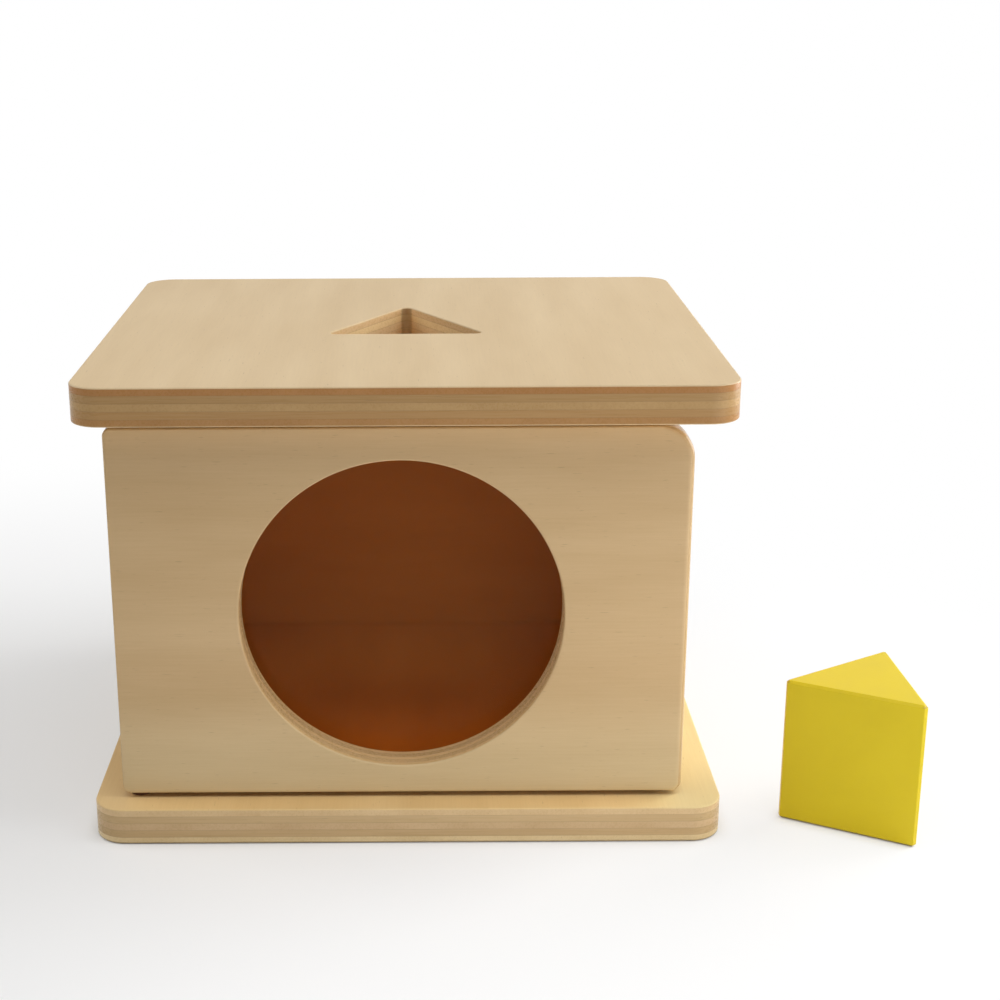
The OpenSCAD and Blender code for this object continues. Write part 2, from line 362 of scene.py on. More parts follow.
def make_mesh(name, grids, poles, marks=None):
    """Mesh object, in metres, from copies of one grid in mm.

    Each mark, one value per row of the grid, becomes an attribute of the mesh."""
    copies, rows, columns = grids.shape[:3]
    if poles:
        between = grids[:, 1:-1].reshape(copies, -1, 3)
        points = np.concatenate([grids[:, 0, :1], between, grids[:, -1, :1]], 1)
    else:
        points = grids.reshape(copies, -1, 3)
    faces = grid_faces(rows, columns, poles)
    count = points.shape[1]
    every_face = [[index + copy * count for index in face] for copy in range(copies) for face in faces]
    mesh = bpy.data.meshes.new(name)
    mesh.from_pydata((points.reshape(-1, 3) * MM).tolist(), [], every_face)
    for label, row_values in (marks or {}).items():
        values = np.repeat(row_values, columns)
        if poles:
            values = np.concatenate([values[:1], values[columns:-columns], values[-1:]])
        mesh.attributes.new(label, "FLOAT", "POINT").data.foreach_set("value", np.tile(values, copies))
    piece = bpy.data.objects.new(name, mesh)
    bpy.context.scene.collection.objects.link(piece)
    return piece


print("a grid of 4 rows and 6 columns has", len(grid_faces(4, 6, True)), "faces with poles")

# %% [markdown]
# ## Outlines
# A board is cut to an outline. It could be a curve object with a bevel, but then the curve decides where the
# points lie. Here an outline is a row of points with their outward normals, so that it can be moved inwards
# for an eased edge, or crossed by rays for a board with a hole.


# %% Outline
def directions(bearings):
    """Unit vectors at bearings in radians: their cosine and sine."""
    return np.stack([np.cos(bearings), np.sin(bearings)], -1)


def full_turn(steps):
    """Bearings spread evenly once round."""
    return np.linspace(0, 2 * np.pi, steps, endpoint=False)


class Outline:
    """Closed outline: points, outward normals, corner radii and mitres, one of each per column of a grid.

    Moved inwards, a point follows its normal until the corner's radius is used up, and then the corner's
    mitre, the line on which two straight sides meet."""

    def __init__(self, points, normals, radii, mitres):
        self.points, self.normals, self.radii, self.mitres = points, normals, radii, mitres

    def inset(self, distance):
        """The outline moved inwards, once for each row of distances."""
        by_normal = np.minimum(distance, self.radii)[..., None] * self.normals
        by_mitre = np.maximum(distance - self.radii, 0)[..., None] * self.mitres
        return self.points - by_normal - by_mitre

    def as_hole(self):
        """The same outline as a hole's rim: inwards, into the board, is away from the hole's middle."""
        return Outline(self.points, -self.normals, np.full(len(self.points), np.inf), self.mitres)

    def cut_by_rays(self, centre, bearings):
        """The outline where rays from a centre cross it.

        With A and B the outline's neighbouring points seen from the centre, and e the ray's direction, the
        crossing is A + s (B - A), where s = cross(A, e) / (cross(A, e) - cross(B, e))."""
        spokes = self.points - centre
        seen = np.arctan2(spokes[:, 1], spokes[:, 0])
        order = np.argsort(seen)
        order = np.concatenate([order[-1:], order, order[:1]])
        seen = seen[order] + 2 * np.pi * np.concatenate([[-1], np.zeros(len(seen)), [1]])
        place = np.clip(np.searchsorted(seen, bearings, side="right") - 1, 0, len(seen) - 2)
        first, second = order[place], order[place + 1]
        ray = directions(bearings)
        near = spokes[first, 0] * ray[:, 1] - spokes[first, 1] * ray[:, 0]
        far = spokes[second, 0] * ray[:, 1] - spokes[second, 1] * ray[:, 0]
        share = near / (near - far)

        def between(values):
            weight = share if values.ndim == 1 else share[:, None]
            return values[first] * (1 - weight) + values[second] * weight

        normals = between(self.normals)
        normals /= np.linalg.norm(normals, axis=1, keepdims=True)
        return Outline(between(self.points), normals, between(self.radii), between(self.mitres))


def circle(centre, radius, steps):
    """Outline of a circle: its centre plus the radius times each direction."""
    normals = directions(full_turn(steps))
    return Outline(np.asarray(centre) + radius * normals, normals, np.full(steps, radius), normals)


print("circle of radius 3:", len(circle((0.0, 0.0), 3.0, 24).points), "points")

# %% [markdown]
# ## Round corners
# Boards and holes have straight sides and round corners. Each corner becomes an arc of even steps, and the
# straight sides need no points of their own.

# %% Corners
ARC_STEPS = 12


def round_outline(corners, radii):
    """Closed outline with round corners.

    Each corner becomes an arc tangent to its two sides. Its centre lies inside the corner, along the sum of
    the two sides' normals, and the normals turn evenly from one side's to the other's."""
    corners = np.asarray(corners, float)
    sides = np.roll(corners, -1, 0) - corners
    unit = sides / np.linalg.norm(sides, axis=1, keepdims=True)
    leaving = np.stack([unit[:, 1], -unit[:, 0]], 1)
    coming = np.roll(leaving, 1, 0)
    radii = np.broadcast_to(np.asarray(radii, float), len(corners))
    mitres = (coming + leaving) / (1 + (coming * leaving).sum(1, keepdims=True))
    centres = corners - mitres * radii[:, None]
    start = np.arctan2(coming[:, 1], coming[:, 0])
    turn = (np.arctan2(leaving[:, 1], leaving[:, 0]) - start) % (2 * np.pi)
    normals = directions(start[:, None] + turn[:, None] * np.linspace(0, 1, ARC_STEPS + 1))
    points = centres[:, None] + radii[:, None, None] * normals
    each = ARC_STEPS + 1
    return Outline(
        points.reshape(-1, 2), normals.reshape(-1, 2), np.repeat(radii, each), np.repeat(mitres, each, 0)
    )


def rectangle(low, high):
    """Corners of a rectangle, counter-clockwise from its lowest corner."""
    return [(low[0], low[1]), (high[0], low[1]), (high[0], high[1]), (low[0], high[1])]


def triangle(centre, side, turn=0.0):
    """Corners of an equilateral triangle: a third of a turn apart, each side / sqrt(3) from the centre."""
    bearings = np.radians(np.array([90, 210, 330]) + turn)
    return np.asarray(centre) + side / math.sqrt(3) * directions(bearings)


print("outline of a 20 by 10 rectangle:", len(round_outline(rectangle((0, 0), (20, 10)), 2).points), "points")

# %% [markdown]
# ## Eased edges
# A cut board is eased with a sanding block or a small router bit. A Bevel modifier could round the edges of a
# plain slab. Here the rounding is part of the section that is carried round the outline, because then its
# radius can change along the way and the mesh stays even.

# %% Solid boards
EASE_STEPS = 6
SUPPORT = 0.4


def edge_rows(outline, span, ease_low, ease_high, bend=1.0):
    """Rows of a board's edge from its low face to its high face, as flat points, heights and arris values.

    An eased edge turns from a face into the straight side through t = 0 to 90 degrees, as two arcs with a
    radius of bend times the ease: the first ends and the second starts at 45 degrees. Its inset is
    ease (1 - bend sin t) and its height ease bend (1 - cos t) in the first arc, and the other way round in
    the second. With a bend of 1 both are one quarter circle, and with less a flat chamfer lies between them.
    One more row on each face, a little further in, keeps the face's shading flat. The arris value is sin 2t:
    1 half-way round an edge."""
    half = np.linspace(0, np.pi / 4, EASE_STEPS // 2 + 1)[:, None]
    first_arc = half[:-1] if bend == 1 else half
    turn = np.concatenate([first_arc, half + np.pi / 4])
    early = np.arange(len(turn))[:, None] < len(first_arc)
    in_share = np.where(early, 1, bend) - bend * np.sin(turn)
    up_share = np.where(early, bend, 1) - bend * np.cos(turn)
    columns = len(outline.points)
    ease_low = np.broadcast_to(ease_low, (1, columns))
    ease_high = np.broadcast_to(ease_high, (1, columns))
    flat = np.zeros((1, columns))
    inset = np.concatenate([
        ease_low + SUPPORT, ease_low * in_share, ease_high * in_share[::-1], ease_high + SUPPORT,
    ])
    height = np.concatenate([
        flat + span[0], span[0] + ease_low * up_share, span[1] - ease_high * up_share[::-1], flat + span[1],
    ])
    bow = np.sin(2 * turn[:, 0])
    return outline.inset(inset), height, np.concatenate([[0], bow, bow, [0]])


def solid_board(outline, span, axis, ease, bend=1.0):
    """Grid of a board without a hole, and its marks: pole, low face, eased edge, high face, pole."""
    plane, height, arris = edge_rows(outline, span, *ease, bend)
    middle = np.broadcast_to(outline.points.mean(0), plane[:1].shape)
    plane = np.concatenate([middle, plane, middle])
    height = np.concatenate([height[:1], height, height[-1:]])
    return stand(plane, height, axis), {"arris": np.concatenate([[0], arris, [0]])}


print("a small disc has a grid of", solid_board(circle((0, 0), 3, 24), (0, 2), "Z", (0.5, 0.5))[0].shape[:2])

# %% [markdown]
# ## Boards with an opening
# The lid has a triangular hole and the door a round window. Both could be cut with a Boolean modifier, but
# that leaves sharp rims. Instead, rays from the middle of the hole cut both outlines at the same bearings, so
# each column of the grid runs from the outer edge to the hole's rim, and both get their eased rounding.

# %% Ring boards
RAY_DECIMALS = 5


def ring_board(outer, hole, centre, span, axis, ease, rim):
    """Grid of a board with a hole, and its marks.

    The rows go up the eased edge, over the high face, down the hole and back along the low face. ease gives
    the outer edge's two radii from its normals, and rim the hole's two radii. The mark "opening" is 1 on the
    hole's wall and 0 on the outer edge."""
    centre = np.asarray(centre, float)
    spokes = np.concatenate([outer.points, hole.points]) - centre
    bearings = np.unique(np.round(np.arctan2(spokes[:, 1], spokes[:, 0]), RAY_DECIMALS))
    edge = outer.cut_by_rays(centre, bearings)
    inner = hole.cut_by_rays(centre, bearings).as_hole()
    plane, height, arris = edge_rows(edge, span, *ease(edge.normals))
    hole_plane, hole_height, hole_arris = edge_rows(inner, span, *rim)
    plane = np.concatenate([plane, hole_plane[::-1]])
    height = np.concatenate([height, hole_height[::-1]])
    marks = {
        "arris": np.concatenate([arris, hole_arris[::-1]]),
        "opening": np.concatenate([np.zeros(len(arris)), np.ones(len(hole_arris))]),
    }
    return stand(plane, height, axis), marks


print("ring boards ready")

# %% [markdown]
# ## Drilled holes
# Hinge pins, dowels, screws and magnets sit in drilled holes. A turned shape, a profile of radii carried
# round an axis, stands for the drill. A Boolean modifier takes it away from the board, and the result
# becomes the board's mesh, so that no modifier is left. The same turned shapes serve as screws.

# %% Turned shapes and drilling
TURN_STEPS = 32


def turned(places, radii, heights, axis, steps=TURN_STEPS):
    """Grids of a turned shape at several places: its radius at each height, carried round the axis.

    Places are the axis's points in the plane across it. The first and last rows are the poles."""
    radii = np.concatenate([[0], radii, [0]])
    heights = np.concatenate([heights[:1], heights, heights[-1:]]).astype(float)
    spokes = directions(full_turn(steps))
    plane = np.asarray(places, float)[:, None, None] + radii[None, :, None, None] * spokes
    return stand(plane, np.broadcast_to(heights[None, :, None], plane.shape[:3]), axis)


def drill(piece, *drills):
    """Takes turned shapes away from a piece."""
    for grids in drills:
        cutter = make_mesh("drill", grids, True)
        modifier = piece.modifiers.new("drill", "BOOLEAN")
        modifier.object = cutter
        modifier.solver = "EXACT"
        drilled = piece.evaluated_get(bpy.context.evaluated_depsgraph_get())
        piece.data = bpy.data.meshes.new_from_object(drilled)
        piece.modifiers.clear()
        bpy.data.objects.remove(cutter)


print("drill with", TURN_STEPS, "sides ready")

# %% [markdown]
# ## Putting a piece in its place
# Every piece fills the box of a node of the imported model, rides on that node's body and stands for it. Smooth
# shading rounds the eased edges, and only edges that turn sharply, such as a bore's mouth, stay crisp.

# %% Sizes from the model, and hand-over
SHARP_FROM = math.radians(35)


def box_mm(node):
    """Lowest and highest corner of a node in mm."""
    return tuple(np.array(corner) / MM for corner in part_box(node))


def board_box(node, axis):
    """A node's lowest and highest corner in the plane across an axis, and its span along it, in mm."""
    low, high = box_mm(node)
    plane, depth = PLANE_AXES[axis], THICKNESS_AXIS[axis]
    return low[plane], high[plane], (low[depth], high[depth])


def hand_over(piece, material, body, node):
    """Gives a piece its material, shading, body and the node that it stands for."""
    piece.data.materials.clear()
    piece.data.materials.append(material)
    piece.data.shade_smooth()
    piece.data.set_sharp_from_angle(angle=SHARP_FROM)
    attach(piece, body)
    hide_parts(node)
    low, high = box_mm(node)
    points = np.empty(3 * len(piece.data.vertices), np.float32)
    piece.data.vertices.foreach_get("co", points)
    points = points.reshape(-1, 3) / MM
    grown = max((low - points.min(0)).max(), (points.max(0) - high).max())
    print(piece.name, "has", len(piece.data.polygons), "faces and stands", round(float(grown), 3), "mm proud")


print("the lid lies between heights of", np.round(board_box("lid_board", "Z")[2], 2).tolist(), "mm")

# %% [markdown]
# ## Groups and materials
# An effect that several finishes share is built once as a node group with named sockets, and placed in each
# material with its own values. A fresh material already holds a Principled shader, so a finish only has to
# feed its sockets.


# %% Group and material helpers
def new_group(name, inputs, outputs):
    """An empty node group with named sockets, and the bench, inputs and outputs to wire it with."""
    tree = bpy.data.node_groups.new(name, "ShaderNodeTree")
    for label, (kind, value) in inputs.items():
        socket = tree.interface.new_socket(label, in_out="INPUT", socket_type="NodeSocket" + kind)
        if value is not None:
            socket.default_value = value
    for label, kind in outputs.items():
        tree.interface.new_socket(label, in_out="OUTPUT", socket_type="NodeSocket" + kind)
    given = tree.nodes.new("NodeGroupInput").outputs
    made = tree.nodes.new("NodeGroupOutput").inputs
    return tree, Bench(tree), given, made


def new_material(name):
    """A material with a fresh Principled shader, its bench and that shader's inputs."""
    material = bpy.data.materials.new(name)
    material.use_nodes = True
    bench = Bench(material.node_tree)
    shader = material.node_tree.nodes["Principled BSDF"]
    return material, bench, shader.inputs


print("group and material helpers ready")

# %% [markdown]
# ## Plywood
# Plywood is a stack of veneers glued crosswise. On a face you see long fibres, faint bands and tiny dark
# vessels. On an edge you see the stack: plies that show long grain, plies that show end grain, and thin glue
# lines between them. An image could be wrapped round the board, but a solid pattern is truer: the colour
# depends on how deep a point lies below the face, so eased edges and drilled holes cut through the plies by
# themselves. One node group does it for every board, from a position in mm along the grain, across it and
# below the face.

# %% Plywood group
fibre_fineness = (0.05, 1.5, 1.5)
band_fineness = (0.007, 0.05, 0.1)
cloud_fineness = (0.010, 0.05, 0.1)
fibre_strength, band_strength, cloud_strength = 0.55, 0.9, 0.9
vessel_fineness = (0.22, 2.6, 2.6)
vessel_range = (0.69, 0.80)
vessel_share = 0.35
vessel_brown = (0.30, 0.19, 0.10, 1.0)
glue_reach = (0.05, 0.22)
glue_share = 0.20
glue_brown = (0.28, 0.17, 0.08, 1.0)
# Painted light: the tint that makes part of a face paler where more light falls.
painted_light_tint = (1.03, 1.185, 1.29, 1.0)
# Painted shade: the brown that darkens the edge a board stands on and one corner of the lid's hole.
painted_shade_brown = (0.16, 0.10, 0.05, 1.0)
# Partly wear, partly painted highlight: the share by which eased edges turn paler.
wear_and_highlight_share = 0.22
lacquer_rough, fibre_rough = 0.40, 0.16
wear_and_highlight_smooth, edge_smooth = 0.4, 0.20
vessel_dip, glue_dip = 0.8, 0.6
ply_shift = 37.0


def build_plywood():
    """Node group for solid plywood: colour, roughness and height from a position in the board."""
    tree, bench, given, made = new_group(
        "plywood",
        {
            "Position": ("Vector", None),
            "Ply": ("Float", 2.4),
            "Plies": ("Float", 5.0),
            "Light": ("Color", (0.8, 0.62, 0.4, 1.0)),
            "Dark": ("Color", (0.66, 0.48, 0.28, 1.0)),
            "Ply Tint": ("Color", (1.0, 1.0, 1.0, 1.0)),
            "Sapwood": ("Float", 0.0),
            "Arris": ("Float", 0.0),
            "Edge": ("Float", 0.0),
            "Grime": ("Float", 0.0),
        },
        {"Color": "Color", "Roughness": "Float", "Height": "Float"},
    )
    along, across, depth = bench.split(given["Position"])
    layer_place = bench.math("DIVIDE", depth, given["Ply"])
    last_layer = bench.math("SUBTRACT", given["Plies"], 1.0)
    layer = bench.math("MAXIMUM", bench.math("FLOOR", layer_place), 0.0)
    layer = bench.math("MINIMUM", layer, last_layer)
    crosswise = bench.math("MULTIPLY", bench.math("FRACT", bench.math("MULTIPLY", layer, 0.5)), 2.0)
    run = bench.blend(crosswise, along, across)
    side = bench.blend(crosswise, across, along)
    side = bench.math("ADD", side, bench.math("MULTIPLY", layer, ply_shift))
    in_ply = bench.vector(run, side, depth)

    fibre = bench.noise(in_ply, fibre_fineness, detail=5.0, roughness=0.65)
    band = bench.noise(in_ply, band_fineness, detail=3.0, roughness=0.55)
    cloud = bench.noise(in_ply, cloud_fineness)
    vessel = bench.spread(bench.noise(in_ply, vessel_fineness, detail=1.0), *vessel_range)
    tone = 0.5
    for pattern, strength in ((band, band_strength), (cloud, cloud_strength), (fibre, fibre_strength)):
        tone = bench.math("MULTIPLY_ADD", bench.math("SUBTRACT", pattern, 0.5), strength, tone)
    wood = bench.colour(tone, given["Dark"], given["Light"])
    # Painted light: the face is made paler between the given places.
    wood = bench.colour(given["Sapwood"], wood, painted_light_tint, "MULTIPLY")
    wood = bench.colour(1.0, wood, given["Ply Tint"], "MULTIPLY")
    wood = bench.colour(bench.math("MULTIPLY", vessel, vessel_share), wood, vessel_brown)

    within = bench.math("FRACT", layer_place)
    to_seam = bench.math("MINIMUM", within, bench.math("SUBTRACT", 1.0, within))
    glue = bench.spread(bench.math("MULTIPLY", to_seam, given["Ply"]), *glue_reach, 1.0, 0.0)
    past_first = bench.math("GREATER_THAN", layer_place, 0.5)
    before_last = bench.math("LESS_THAN", layer_place, bench.math("SUBTRACT", given["Plies"], 0.5))
    glue = bench.math("MULTIPLY", glue, bench.math("MULTIPLY", past_first, before_last))
    wood = bench.colour(bench.math("MULTIPLY", glue, glue_share), wood, glue_brown)
    # Eased edges turn paler: partly wear, partly a painted highlight.
    wear_and_highlight = bench.math("MULTIPLY", given["Arris"], wear_and_highlight_share)
    wood = bench.colour(wear_and_highlight, wood, given["Light"])
    # Painted shade: darker towards brown where the input says.
    wood = bench.colour(given["Grime"], wood, painted_shade_brown)

    rough = bench.math("MULTIPLY_ADD", fibre, fibre_rough, lacquer_rough)
    rough = bench.math("MULTIPLY_ADD", wear_and_highlight, -wear_and_highlight_smooth, rough)
    rough = bench.math("MULTIPLY_ADD", given["Edge"], -edge_smooth, rough)
    height = bench.math("MULTIPLY_ADD", vessel, -vessel_dip, fibre)
    height = bench.math("MULTIPLY_ADD", glue, -glue_dip, height)
    bench.fill(made, Color=wood, Roughness=rough, Height=height)
    return tree


plywood = build_plywood()
print("plywood group:", len(plywood.nodes), "nodes")

# %% [markdown]
# ## One plywood finish per board
# The boards are cut from different sheets, so each gets its own grain direction, its own shift in the pattern
# and its own tints for the plies that show on its edges. The face veneer is sanded thin, so the first inner
# ply shows early in the rounding. A light satin lacquer gives a little gloss, more on the edges, which are
# sealed and sanded twice. The eased edges are painted a little paler, partly wear and partly a painted
# highlight. The edge that a board stands on is painted darker along the table: painted shade. The base's
# face is painted paler towards its right end, and the door's towards its bottom: painted light. One corner
# of the lid's hole is painted darker: painted shade.

# %% Plywood finish
VENEER = 0.35
# Painted shade along the edge that a board stands on.
PAINTED_SHADE_RANGE = (0.90, 0.95)
# Painted shade round one corner of an opening.
CORNER_SHADE_REACH = (2.8, 4.4)
CORNER_SHADE_SHARE = 0.45
face_light = (0.800, 0.615, 0.372)
face_dark = (0.650, 0.467, 0.252)
lacquer_gloss = 0.2
grain_relief = (0.00004, 0.6)


def ply_ramp(bench, depth_share, thickness, tints):
    """Colour steps through a board's thickness: a flat tint for each ply, between two thin plain veneers."""
    ramp = bench.add("ValToRGB")
    ramp.color_ramp.interpolation = "CONSTANT"
    bench.feed(ramp.inputs[0], depth_share)
    starts = [VENEER / thickness] + [ply / len(tints) for ply in range(1, len(tints))]
    stops = ramp.color_ramp.elements
    stops[0].color = (1.0, 1.0, 1.0, 1.0)
    stops[1].position = 1 - VENEER / thickness
    stops[1].color = (1.0, 1.0, 1.0, 1.0)
    for start, tint in zip(starts, tints):
        stops.new(start).color = (*tint, 1.0)
    return ramp.outputs[0]


def plywood_finish(
    name, ways, span, face_high, tints, shift, stain=(1, 1, 1), hole_tints=None, painted_light=None, painted_shade=0.0,
    corner_shade=None,
):
    """Material for one board.

    ways names the axes along the grain, across it and through the board. face_high says which end of the span
    is the show face. tints colour the plies on the outer edge, and hole_tints those on the wall of an
    opening. The next three arguments place painted light and shade: the places across the grain between
    which the face is painted paler, as painted light; the share of painted shade on the edge farthest from
    the show face; and the place, along and across the grain, round which the wall of an opening is painted
    darker, as painted shade."""
    light, dark = ((*np.array(tone) * stain, 1.0) for tone in (face_light, face_dark))
    thickness = span[1] - span[0]
    face, inward = (span[1], -1) if face_high else (span[0], 1)
    material, bench, shader = new_material(name)
    axes = dict(zip("XYZ", bench.split(bench.place())))
    along, across, through = (axes[way] for way in ways)
    position = bench.add("VectorMath", operation="MULTIPLY_ADD")
    to_mm = (1 / MM, 1 / MM, inward / MM)
    from_face = (shift, shift, -inward * face)
    bench.feed_all(position.inputs, bench.vector(along, across, through), to_mm, from_face)
    depth = bench.split(position.outputs[0])[2]
    depth_share = bench.math("DIVIDE", depth, thickness)
    below_face = bench.math("GREATER_THAN", depth, VENEER)
    tint = ply_ramp(bench, depth_share, thickness, tints)
    if hole_tints:
        tint = bench.colour(bench.mark("opening"), tint, ply_ramp(bench, depth_share, thickness, hole_tints))
    wood = bench.group(
        plywood, Position=position.outputs[0], Ply=thickness / len(tints), Plies=float(len(tints)),
        Light=light, Dark=dark, Ply_Tint=tint, Arris=bench.mark("arris"), Edge=below_face,
    )
    # Painted light: the face turns paler between two places across the grain.
    if painted_light:
        paler = bench.spread(across, *(np.array(painted_light) * MM))
        on_face = bench.math("SUBTRACT", 1.0, below_face)
        bench.fill(wood.inputs, Sapwood=bench.math("MULTIPLY", paler, on_face))
    # Painted shade along the edge farthest from the show face.
    if painted_shade:
        far_edge = bench.spread(depth_share, *PAINTED_SHADE_RANGE, 0.0, painted_shade)
        bench.fill(wood.inputs, Grime=bench.math("MULTIPLY", far_edge, bench.mark("arris")))
    # Painted shade round one corner of an opening's wall.
    if corner_shade:
        reach = bench.distance(bench.vector(along, across, 0.0), (corner_shade[0] * MM, corner_shade[1] * MM, 0.0))
        corner_shade_mask = bench.spread(reach, *(np.array(CORNER_SHADE_REACH) * MM), CORNER_SHADE_SHARE, 0.0)
        corner_shade_mask = bench.math("MULTIPLY", corner_shade_mask, below_face)
        bench.fill(wood.inputs, Grime=bench.math("MULTIPLY", corner_shade_mask, bench.mark("opening")))
    grain = bench.bump(wood.outputs["Height"], *grain_relief)
    bench.fill(
        shader, Base_Color=wood.outputs["Color"], Roughness=wood.outputs["Roughness"], Normal=grain,
        Specular_IOR_Level=lacquer_gloss,
    )
    return material


print("face veneer", VENEER, "mm")

# %% [markdown]
# ## Tints of the plies
# End grain drinks more lacquer than long grain, so the plies of one board differ. Each list goes from the
# show face inwards. A tint multiplies the wood's own colour. The lid's plies are painted darker and more
# orange than the others: painted shade on its outer edge. The walls of the two openings are painted paler
# than the outer edges: painted light.

# %% Tints
# Painted shade: the lid's outer edge is tinted darker and more orange.
lid_tints = [
    (0.69, 0.45, 0.27), (0.68, 0.55, 0.39), (0.77, 0.64, 0.47), (0.72, 0.56, 0.38), (0.69, 0.48, 0.29),
]
base_tints = [
    (0.98, 1.00, 1.14), (0.84, 0.84, 0.93), (0.86, 0.86, 0.99), (0.78, 0.76, 0.81), (1.00, 1.08, 1.25),
]
wall_tints = [
    (0.95, 0.93, 0.90), (0.82, 0.77, 0.70), (0.94, 0.92, 0.89), (0.80, 0.75, 0.68), (0.95, 0.93, 0.90),
]
door_tints = [
    (0.82, 0.79, 0.74), (0.74, 0.71, 0.66), (0.78, 0.75, 0.70), (0.71, 0.67, 0.62), (0.78, 0.75, 0.70),
]
# Painted light: the walls of the lid's hole are tinted paler than its outer edge.
hole_tints = [
    (1.09, 1.01, 0.90), (1.24, 1.23, 1.11), (1.20, 1.17, 1.11), (1.17, 1.12, 1.02), (1.11, 1.05, 0.96),
]
# Painted light: the wall of the door's window is tinted paler than its outer edge.
window_tints = [
    (1.20, 1.22, 1.14), (1.10, 1.09, 1.02), (1.22, 1.24, 1.17), (1.04, 1.02, 0.95), (1.18, 1.20, 1.12),
]
print("plies in a board:", len(lid_tints))

# %% [markdown]
# ## Lid
# The lid is a 12 mm board with round corners. Its hole is a triangle with round corners, a little larger than
# the prism. Straight edges and corners are eased alike, and the hole's rim is broken with sandpaper.

# %% Lid board
corner_radius = 10.0
board_ease = 0.5
hole_side = 53.0
hole_corner_radius = 2.0
hole_from_front = 73.5
hole_rim = 0.5

lid_low, lid_high, lid_span = board_box("lid_board", "Z")
hole_front = lid_low[1] + hole_from_front
hole_centre = np.array([0.0, hole_front + hole_side / (2 * math.sqrt(3))])
hole_corners = triangle(hole_centre, hole_side)
lid_outline = round_outline(rectangle(lid_low, lid_high), corner_radius)
hole_outline = round_outline(hole_corners, hole_corner_radius)
lid_grid, lid_marks = ring_board(
    lid_outline, hole_outline, hole_centre, lid_span, "Z",
    ease=lambda outward: (board_ease, board_ease), rim=(hole_rim, hole_rim),
)
lid = make_mesh("lid_plywood", lid_grid[None], False, lid_marks)
print("hole's far corner at", np.round(hole_corners[0], 2).tolist(), "mm")

# %% [markdown]
# The lid's underside has blind bores: one for the hinge pin, and one for each dowel that stands in a wall.
# The drills stick out a little below the board, because two faces in one plane would trouble the Boolean.

# %% Lid bores and finish
bore_floor = 3.5
pin_bore = 2.05
dowel_bore = 3.05
fastener_inset = 28.0
drill_over = 1.0

wall_middles = {}
for wall_node in ("left_wall", "right_wall", "back_wall"):
    wall_low, wall_high = box_mm(wall_node)
    wall_middles[wall_node] = (wall_low + wall_high) / 2
pin_low, pin_high = box_mm("upper_hinge_pin")
pivot = (pin_low + pin_high)[:2] / 2
side_low, side_high = box_mm("left_wall")
back_low, back_high = box_mm("back_wall")
side_rows = (side_low[1] + fastener_inset, back_low[1] - fastener_inset)
back_columns = (back_low[0] + fastener_inset, back_high[0] - fastener_inset)
wall_points = [(wall_middles[side][0], y) for side in ("left_wall", "right_wall") for y in side_rows]
wall_points += [(x, wall_middles["back_wall"][1]) for x in back_columns]
lid_bore = (lid_span[0] - drill_over, lid_span[1] - bore_floor)
drill(
    lid,
    turned([pivot], [pin_bore] * 2, lid_bore, "Z"),
    turned(wall_points, [dowel_bore] * 2, lid_bore, "Z"),
)
# The far corner of the lid's hole gets painted shade.
lid_finish = plywood_finish(
    "lid_finish", "YXZ", lid_span, True, lid_tints, 400.0,
    hole_tints=hole_tints, corner_shade=hole_corners[0][::-1].tolist(),
)
hand_over(lid, lid_finish, "box", "lid_board")

# %% [markdown]
# ## Base
# The base has the lid's outline. From below, six screws go through it into the walls, with their heads sunk
# in countersinks, so the underside rests flat. The countersink is one turned drill: mouth, cone and shank.

# %% Base
floor_ease = 0.8
screw_bore = 1.80
screw_mouth = 3.55
screw_sunk = 0.5
base_stain = (1.11, 1.05, 0.86)
# Painted light: the base's face turns paler towards its right end.
base_painted_light = (64.0, 94.0)
# Painted shade along the base's lower edge, where it meets the table.
base_painted_shade = 0.7

base_low, base_high, base_span = board_box("base_board", "Z")
base_outline = round_outline(rectangle(base_low, base_high), corner_radius)
base_grid, base_marks = solid_board(base_outline, base_span, "Z", (floor_ease, board_ease))
base = make_mesh("base_plywood", base_grid[None], True, base_marks)
cone = screw_mouth - screw_bore
base_top = base_span[1] + drill_over
screw_drill = [screw_mouth, screw_mouth, screw_bore, screw_bore]
screw_heights = np.array([-drill_over, screw_sunk, screw_sunk + cone, base_top])
drill(
    base,
    turned([pivot], [pin_bore] * 2, (bore_floor, base_top), "Z"),
    turned(wall_points, screw_drill, screw_heights, "Z"),
)
base_finish = plywood_finish(
    "base_finish", "YXZ", base_span, True, base_tints, 900.0, base_stain,
    painted_light=base_painted_light, painted_shade=base_painted_shade,
)
hand_over(base, base_finish, "box", "base_board")

# %% [markdown]
# ## Walls
# Two side walls run the whole depth, and the back wall stands between them. Dowels join them to the lid and
# to each other, and the base's screws come up from below, so all of them are drilled. The right wall also
# has a seat for the catch magnet in its front end. Each wall could get a list of drills of its own. Here the
# same drills go at every wall, because those that miss it do nothing.

# %% Walls
wall_ease = 0.6
lid_dowel_down = 16.5
base_screw_up = 20.5
magnet_bore = 3.05
magnet_depth = 3.5
level_bore_out, level_bore_in = 6.5, 18.5

